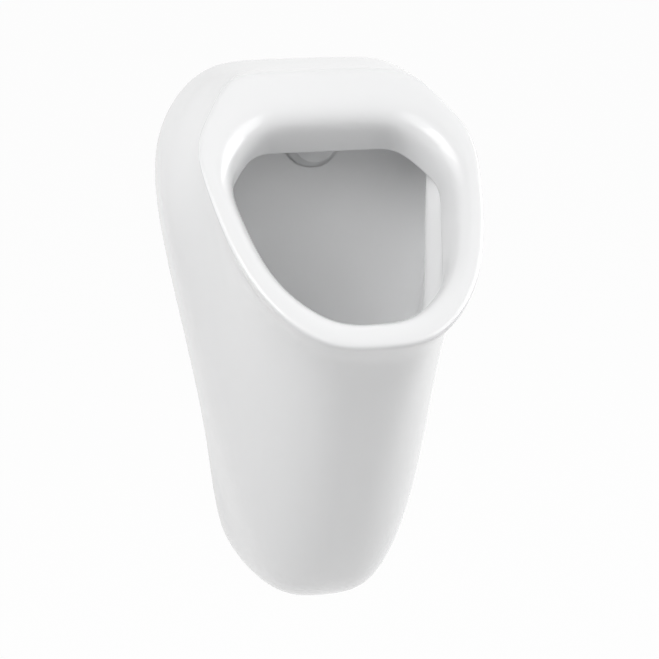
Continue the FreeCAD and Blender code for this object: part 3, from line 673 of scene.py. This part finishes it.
def hollow_tool():
    """The inner skin, kept behind the bowl and under it, less the two hanging ribs."""
    hollow = capped_skin("hollow", outside_loops(SHELL, FOOT_SHELL, 2.0), 20, 96, china_bisque)
    side = WALL_SIDE + PAST
    keep = box_piece("shelf", (-side, SHELL - BACK_WALL, -50.0), (side, 5.0, HEIGHT), china_bisque)
    cellar = box_piece("cellar", (-side, -RIM_FOOT_DEPTH, -60.0), (side, 6.0, UNDER_FLOOR), china_bisque)
    hollow = combined(hollow, "INTERSECT", combined(keep, "UNION", cellar))
    for middle in (-HANGER_HALF_SPACING, HANGER_HALF_SPACING):
        rib = box_piece("rib", (middle - RIB_WIDTH / 2, -RIB_BACK - RIB_THICK, RIB_HEIGHT),
                        (middle + RIB_WIDTH / 2, -RIB_BACK, HEIGHT + PAST), china_bisque)
        hollow = combined(hollow, "DIFFERENCE", rib)
    return hollow


def china_body():
    """Skin less hollow less the inlet's and the waste's holes."""
    body = capped_skin("china_body", outside_loops() + rim_loops() + bowl_loops(), 14, 208, china_glaze)
    body = combined(body, "DIFFERENCE", hollow_tool())
    body = combined(body, "DIFFERENCE",
                    rod_piece("inlet_hole", (0, -52.0, INLET_HEIGHT), (0, -20.0, INLET_HEIGHT), INLET_HOLE))
    return combined(body, "DIFFERENCE",
                    rod_piece("waste_hole", (0, -OUTLET_DEPTH, FLOOR_HEIGHT - 20.0),
                              (0, -OUTLET_DEPTH, FLOOR_HEIGHT + PAST), WASTE_HOLE))


china = china_body()
china.data.shade_smooth()
china.data.set_sharp_from_angle(angle=math.radians(40.0))
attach(china, "urinal")
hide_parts("ceramic_body")
print("china faces", len(china.data.polygons), "materials", [m.name for m in china.data.materials])

# %% [markdown]
# ## Turned and moulded round pieces
#
# Nearly everything behind the china is round: nuts, screws, a spreader and a trap. Each is
# a closed outline carried round an axis. A screw thread or a finger grip isn't modelled
# with cuts. It is the same outline whose radius swells and shrinks with the angle, which
# keeps the mesh an even grid. A thread is a ridge whose phase moves on by one turn for
# each pitch, and a grip is the same wave all the way along.


# %% Round pieces
def turned_points(profile, place, direction, around, swell):
    """Carry (radius, along) points round an axis: radius * (cos a, sin a) across it, along its direction.

    `swell` gives the radius anew from arrays of the angle, the way along and the radius.
    """
    radius, along = (column[:, None] for column in np.array(profile, float).T)
    angle = (np.arange(around) * math.tau / around)[None, :]
    along = along + 0.0 * angle
    radius = swell(angle, along, radius + 0.0 * angle)
    local = np.stack([radius * np.cos(angle), radius * np.sin(angle), along], axis=-1)
    turn = np.array(Vector(direction).to_track_quat("Z", "Y").to_matrix())
    return (local @ turn.T + np.array(place) - (0.0, 0.0, FOOT_BELOW_ORIGIN)) * MM


def moulding(name, profile, place, direction, around, swell):
    """A white piece of revolution from a closed profile. It stands for the CAD node of the same name."""
    points = turned_points(profile, place, direction, around, swell)
    faces = grid_faces(len(profile), around, closed_rows=True)
    thing = piece(name, points, faces, "urinal", white_plastic)
    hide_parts(name)
    return thing


def arc(centre, radius, start, end, steps=7):
    """Profile points on an arc: centre + radius * (cos t, sin t), from start to end in degrees."""
    t = np.radians(np.linspace(start, end, steps))
    return [(centre[0] + radius * c, centre[1] + radius * s) for c, s in zip(np.cos(t), np.sin(t))]


def filled(profile, longest):
    """The same closed profile with extra points, so that no step is longer than `longest`."""
    points = []
    for (r0, s0), (r1, s1) in zip(profile, profile[1:] + profile[:1]):
        count = max(1, math.ceil(math.hypot(r1 - r0, s1 - s0) / longest))
        points += [(r0 + (r1 - r0) * k / count, s0 + (s1 - s0) * k / count) for k in range(count)]
    return points


# %% [markdown]
# ## Nuts with finger grips
#
# Back nuts and trap nuts are tightened by hand, so they have shallow scallops to grip. A
# scallop is the wave |sin|, cut only into the outer wall and fading out at both ends, so
# that the nut keeps a plain rounded edge. The bore stays round.


# %% Grip nuts
def grips(outer, length, count, depth):
    """Scallops in the outer wall: radius less depth * |sin(count * angle / 2)| ** 3, faded at both ends."""
    def swell(angle, along, radius):
        fade = np.clip(np.minimum(along, length - along) / 1.5, 0.0, 1.0)
        on_wall = np.clip((radius - outer + 2.0) / 1.5, 0.0, 1.0)
        return radius - depth * fade * on_wall * np.abs(np.sin(count * angle / 2)) ** 3
    return swell


def grip_nut(name, place, direction, outer, bore, length, count, lip_bore=None):
    """A nut from its outline, with rounded outer edges; a trap nut has a thin lip at its far end."""
    far = [(bore, length)]
    if lip_bore:
        far = [(lip_bore, length), (lip_bore, length - NUT_LIP), (bore, length - NUT_LIP)]
    profile = ([(bore, 0.0)] + arc((outer - NUT_EDGE, NUT_EDGE), NUT_EDGE, -90, 0)
               + arc((outer - NUT_EDGE, length - NUT_EDGE), NUT_EDGE, 0, 90) + far)
    swell = grips(outer, length, count, GRIP_SHARE * outer)
    return moulding(name, filled(profile, 1.6), place, direction, 320, swell)


SPIGOT_RADIUS = 22.0
TAIL_RADIUS = 23.5
CLEAR = 0.2
NUT_EDGE = 1.2
NUT_LIP = 3.0
GRIP_SHARE = 0.07               # depth of a scallop, as a share of the nut's radius
into_wall, upright, downwards = (0, 1, 0), (0, 0, 1), (0, 0, -1)

# Name, place of the near end, direction, outer radius, bore, length, scallops, and the lip's bore.
NUTS = (("inlet_backnut", (0, -31.0, INLET_HEIGHT), into_wall, 33.0, SPIGOT_RADIUS + CLEAR, 9.0, 12),
        ("waste_backnut", (0, -OUTLET_DEPTH, UNDER_FLOOR - 13.0), upright, 35.0, TAIL_RADIUS + CLEAR, 10.0, 12),
        ("trap_inlet_nut", (0, -OUTLET_DEPTH, 192.0), downwards, 31.0, TAIL_RADIUS + CLEAR, 19.0, 20, 19.2),
        ("drain_nut", (0, -70.0, 139.0), into_wall, 26.7, 21.9, 18.0, 18, 19.2))
nuts = [grip_nut(*row) for row in NUTS]
print("nuts", [(nut.name, len(nut.data.polygons)) for nut in nuts])

# %% [markdown]
# ## Wall screws
#
# Each hanger is held by two hexagon wood screws with a coarse thread. The head is a
# hexagon whose corners are turned off by a cone: its radius is the smaller of the two. The
# thread is a thin sharp ridge that winds round a core, and it fades into the point.

# %% Screws
SCREW_RADIUS = 3.0
SCREW_NECK = 2.6
SCREW_HEAD_RADIUS = 6.5
SCREW_HEAD_HEIGHT = 4.0
SCREW_LENGTH = 52.0
UNDER_HEAD = 4.5
THREAD_PITCH = 2.4
THREAD_CORE = 0.72              # radius between the ridges, as a share of the ridge's
RIDGE_FROM = 0.55               # a ridge takes up what lies above this share of a pitch's wave
POINT_LENGTH = 6.0
HANGER_HEIGHT = FOOT_BELOW_ORIGIN
SCREW_STEP = 13.0               # a screw's height above or below the middle of its hanger


def screw_swell(angle, along, radius):
    """A hexagon for the head, and for the thread the core plus a ridge that follows the helix."""
    hexagon = SCREW_HEAD_RADIUS * math.cos(math.pi / 6) / np.cos((angle % (math.pi / 3)) - math.pi / 6)
    head = np.minimum(radius, hexagon)
    phase = (along / THREAD_PITCH - angle / math.tau) % 1.0
    ridge = np.clip((0.5 - np.abs(phase - 0.5)) * 2.0 - RIDGE_FROM, 0.0, None) / (1.0 - RIDGE_FROM)
    thread = radius * (THREAD_CORE + (1.0 - THREAD_CORE) * ridge)
    return np.where(along < 0.0, head, np.where(along > UNDER_HEAD, thread, radius))


def screw_profile():
    """Crown, head, neck, thread and point, as (radius, distance past the underside of the head)."""
    crown = [(0.0, -SCREW_HEAD_HEIGHT), (2.0, -SCREW_HEAD_HEIGHT), (5.55, -SCREW_HEAD_HEIGHT),
             (SCREW_HEAD_RADIUS, -SCREW_HEAD_HEIGHT + 0.95), (SCREW_HEAD_RADIUS, -0.05), (SCREW_HEAD_RADIUS, 0.0)]
    neck = [(SCREW_NECK, 0.0), (SCREW_NECK, UNDER_HEAD)]
    point_from = SCREW_LENGTH - POINT_LENGTH
    steps = np.arange(UNDER_HEAD + 0.01, point_from, THREAD_PITCH / 8)
    point = [(SCREW_RADIUS - 2.4 * t, point_from + POINT_LENGTH * t) for t in np.linspace(0.0, 1.0, 21)]
    return crown + neck + [(SCREW_RADIUS, s) for s in steps] + point + [(0.0, SCREW_LENGTH)]


def wall_screws():
    """The same points at four places, joined into one piece."""
    places = [(side * HANGER_HALF_SPACING, -UNDER_HEAD, HANGER_HEIGHT + step)
              for side in (-1, 1) for step in (-SCREW_STEP, SCREW_STEP)]
    one = screw_profile()
    around = 48
    points = np.stack([turned_points(one, place, into_wall, around, screw_swell) for place in places])
    faces = np.array(grid_faces(len(one), around))
    every = np.concatenate([faces + k * len(one) * around for k in range(len(places))]).tolist()
    return piece("wall_screws", points, every, "urinal", zinc_steel, 30.0)


screws = wall_screws()
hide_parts("hanger_screws")
print("screw faces", len(screws.data.polygons))

# %% [markdown]
# ## Spreader
#
# The flush comes in through the back wall. The spreader is one moulding: a threaded
# spigot that the back nut pulls tight, a flange on the glaze, and a low dome in front of
# it whose open underside sends the water down the walls. Its lip is the fine curved line
# that shows under the top edge of the opening. The dome is a quarter ellipse carried
# round, and a box cuts the mouth.

# %% Spreader
SPREADER_BACK = 47.0
SPREADER_FRONT = 50.0
SPREADER_REACH = 22.0
HOOD_RADIUS = 30.0
HOOD_WALL = 2.5
SPIGOT_END = 4.0
SPIGOT_PITCH = 3.0
SPIGOT_THREAD = 0.9             # depth of the thread, between the next two distances from the wall
SPIGOT_THREAD_SPAN = (5.0, 42.0)
SPREADER_FLANGE = 29.0
FLUSH_BORE = 13.5
SOCKET_BORE = 19.0              # the flush pipe's rubber seal sits here,
SOCKET_FRONT = 32.5             # as far as this shoulder
MOUTH_BELOW = 12.0              # the hood is open below this distance under its axis
MOUTH_DEPTH = 15.0


def quarter(radius, reach, steps=25):
    """Quarter ellipse from the rim to the pole: (radius * cos t, reach * sin t)."""
    t = np.linspace(0.0, math.pi / 2, steps)
    return list(zip(radius * np.cos(t), SPREADER_FRONT + reach * np.sin(t)))


def spigot_swell(angle, along, radius):
    """A rounded thread on the spigot's outside: depth * ((1 - cos of the helix's phase) / 2) ** 2."""
    start, end = SPIGOT_THREAD_SPAN
    outside = (radius > SPIGOT_RADIUS - CLEAR) & (along < end) & (along > start)
    phase = (along / SPIGOT_PITCH + angle / math.tau) % 1.0
    return radius - np.where(outside, SPIGOT_THREAD * (0.5 - 0.5 * np.cos(math.tau * phase)) ** 2, 0.0)


def spreader():
    """The closed outline, measured from the wall: spigot, flange, dome, and back through the bore."""
    spigot = [(SPIGOT_RADIUS, s) for s in np.arange(SPIGOT_END, SPREADER_BACK, SPIGOT_PITCH / 8)]
    flange = [(SPIGOT_RADIUS, SPREADER_BACK), (SPREADER_FLANGE, SPREADER_BACK), (SPREADER_FLANGE, SPREADER_FRONT)]
    outer = quarter(HOOD_RADIUS, SPREADER_REACH)
    inner = quarter(HOOD_RADIUS - HOOD_WALL, SPREADER_REACH - HOOD_WALL)[::-1]
    bore = [(FLUSH_BORE, SPREADER_FRONT), (FLUSH_BORE, SOCKET_FRONT), (SOCKET_BORE, SOCKET_FRONT),
            (SOCKET_BORE, SPIGOT_END)]
    profile = spigot + flange + outer + inner + bore
    points = turned_points(profile, (0.0, 0.0, INLET_HEIGHT), (0, -1, 0), 192, spigot_swell)
    thing = piece("spreader", points, grid_faces(len(profile), 192, closed_rows=True), None, white_plastic)
    low = INLET_HEIGHT - MOUTH_BELOW
    mouth = box_piece("mouth", (-HOOD_RADIUS, -SPREADER_FRONT - MOUTH_DEPTH, low - HOOD_RADIUS),
                      (HOOD_RADIUS, -SPREADER_FRONT, low), white_plastic)
    thing = combined(thing, "DIFFERENCE", mouth)
    thing.data.set_sharp_from_angle(angle=math.radians(35.0))
    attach(thing, "urinal")
    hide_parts("inlet_spreader")
    return thing


spreader_hood = spreader()
print("spreader faces", len(spreader_hood.data.polygons))

# %% [markdown]
# ## Trap cup
#
# The cup of the bottle trap unscrews for cleaning. Its rim has the grips, its floor is
# bevelled so that it clears the china, and it holds the water that seals the drain. The
# outline runs up the outside and down the inside, and the grips fade out below the rim.

# %% Cup
CUP_FLOOR = 61.3
CUP_TOP = 114.0
CUP_RADIUS = 33.0
CUP_BORE = 26.5
CUP_WALL = 3.0
CUP_BEVEL = 13.0
CUP_EDGE = 1.0
CUP_CORNER = 2.0                # radius of the rounding between floor and bevel,
CUP_CORNER_CENTRE = 19.17       # and its centre's distance from the axis
CUP_SOCKET = 29.2               # the trap's body screws in here,
CUP_LEDGE = 99.5                # down to the seal on this ledge
CUP_GRIP_FROM = 84.0
CUP_GRIP = 2.2
CUP_GRIPS = 24


def cup_swell(angle, along, radius):
    """Grips on the upper half of the outside: radius less depth * |sin(count * angle / 2)| ** 3, faded."""
    fade = np.clip((along - CUP_GRIP_FROM) / 3.0, 0.0, 1.0) * np.clip((CUP_TOP - CUP_EDGE - along) / 1.5, 0.0, 1.0)
    return radius - CUP_GRIP * fade * (radius > CUP_RADIUS - CUP_EDGE) * np.abs(np.sin(CUP_GRIPS / 2 * angle)) ** 3


def trap_cup():
    """Floor, bevel, wall, rounded rim, and the inside with its ledge for the seal."""
    inner_floor = CUP_FLOOR + CUP_WALL
    outside = ([(0.0, CUP_FLOOR), (18.0, CUP_FLOOR)]
               + arc((CUP_CORNER_CENTRE, CUP_FLOOR + CUP_CORNER), CUP_CORNER, -90, -45)
               + [(CUP_RADIUS - 0.8, CUP_FLOOR + CUP_BEVEL - 0.8), (CUP_RADIUS, CUP_FLOOR + CUP_BEVEL + 0.8)])
    rim = (arc((CUP_RADIUS - CUP_EDGE, CUP_TOP - CUP_EDGE), CUP_EDGE, 0, 90)
           + [(CUP_SOCKET, CUP_TOP), (CUP_SOCKET, CUP_LEDGE)])
    inside = [(CUP_BORE, CUP_LEDGE), (CUP_BORE, CUP_FLOOR + CUP_BEVEL),
              (CUP_BORE - CUP_BEVEL + CUP_WALL, inner_floor), (0.0, inner_floor)]
    return moulding("trap_cup", filled(outside + rim + inside, 2.0), (0, -OUTLET_DEPTH, 0), upright,
                    288, cup_swell)


cup = trap_cup()
print("cup faces", len(cup.data.polygons))

# %% [markdown]
# ## Pieces whose CAD shape is right
#
# The pressed hangers, washers, gaskets, pipes and the strainer are already exact, so they
# keep their CAD meshes and only get their finishes.

# %% Dressing the CAD pieces
DRESS = {zinc_steel: ("hanger_left", "hanger_right", "screw_washers"),
         black_plastic: ("hook_pads",),
         black_rubber: ("inlet_gasket", "inlet_washer", "flush_pipe_seal", "waste_gasket", "waste_washer",
                        "trap_inlet_washer", "trap_cup_seal", "drain_seal"),
         white_plastic: ("dip_tube", "trap_body"),
         grey_plastic: ("drain_pipe",),
         chromed_brass: ("waste_flange",),
         stainless_steel: ("strainer_dome",)}


def dress(node, material):
    """Swap a CAD node's plain colour for a finish."""
    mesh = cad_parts[node].data
    mesh.materials.clear()
    mesh.materials.append(material)


for material, nodes in DRESS.items():
    for node in nodes:
        dress(node, material)
print("dressed", sum(len(nodes) for nodes in DRESS.values()), "CAD pieces")

# %% [markdown]
# ## Stage and light
#
# The photograph is a packshot: a white room, large soft lights high on both sides, and
# nothing bright straight in front, which is why the middle of the column is its darkest
# part. Each softbox is given by the direction it stands in, as seen from the urinal. The
# white of the room is seen only by the camera and in reflections, so it doesn't brighten
# matt surfaces, and the floor mixes in a little of its own grey and keeps the shadow.

# %% Stage
FLOOR_GAP = 0.30
FLOOR_SIZE = 24.0
WHITE = (1.0, 1.0, 1.0, 1.0)
FLOOR_WHITE = 0.97
ROOM_LIGHT = 0.19
LAMP_DISTANCE = 2.2
LAMP_SIZE = 1.4
MIDDLE = Vector((0.0, -0.15, -0.2))


def stage_finish():
    """Pale and matt to the lamps, and white to the camera, apart from a trace of shadow."""
    finish = Finish("stage", Base_Color=(0.8, 0.8, 0.8, 1.0), Roughness=0.9)
    lit = Number(finish, finish.shader.outputs[0])
    white = finish.node("ShaderNodeEmission", None, {"Color": WHITE, "Strength": 1.0})
    mixed = finish.node("ShaderNodeMixShader", None, {0: FLOOR_WHITE * finish.seen_rays(), 1: lit, 2: white})
    finish.put(finish.nodes["Material Output"], "Surface", mixed)
    return finish.material


def add_floor():
    """One square under the urinal, large enough to reach the edge of every view."""
    level = cad_box[0].z - FLOOR_GAP
    half = FLOOR_SIZE / 2
    corners = [(-half, -half, level), (half, -half, level), (half, half, level), (-half, half, level)]
    mesh = bpy.data.meshes.new("floor")
    mesh.from_pydata(corners, [], [(0, 1, 2, 3)])
    mesh.materials.append(stage_finish())
    floor = bpy.data.objects.new("floor", mesh)
    bpy.context.scene.collection.objects.link(floor)


def add_world(strength):
    """A dim room for light, and a white one for the camera and for reflections."""
    world = bpy.data.worlds.new("room")
    bpy.context.scene.world = world
    tree = Tree(world)
    tree.nodes.remove(tree.nodes["Background"])
    room, white = (tree.node("ShaderNodeBackground", None, {"Color": WHITE, "Strength": power})
                   for power in (strength, 1.0))
    mixed = tree.node("ShaderNodeMixShader", None, {0: tree.seen_rays(), 1: room, 2: white})
    tree.put(tree.nodes["World Output"], "Surface", mixed)


def add_softbox(name, azimuth, elevation, power):
    """A square lamp on a sphere round MIDDLE, facing it. Azimuth is to the right of straight in front."""
    data = bpy.data.lights.new(name, "AREA")
    data.size = LAMP_SIZE
    data.energy = power
    across, level = math.radians(azimuth), math.cos(math.radians(elevation))
    away = Vector((math.sin(across) * level, -math.cos(across) * level, math.sin(math.radians(elevation))))
    lamp = bpy.data.objects.new(name, data)
    lamp.location = MIDDLE + away * LAMP_DISTANCE
    lamp.rotation_euler = (-away).to_track_quat("-Z", "Y").to_euler()
    bpy.context.scene.collection.objects.link(lamp)
    return lamp


SOFTBOXES = {"left_key": (-30, 42, 9.8), "left_main": (-60, 42, 18.2), "left_side": (-90, 34, 7.5),
             "right_key": (60, 35, 14.3), "right_side": (90, 28, 20.0)}
add_floor()
add_world(ROOM_LIGHT)
lamps = [add_softbox(name, *where) for name, where in SOFTBOXES.items()]
bpy.context.scene.view_settings.view_transform = "Standard"
print("lamps", [(lamp.name, round(lamp.data.energy, 1)) for lamp in lamps])
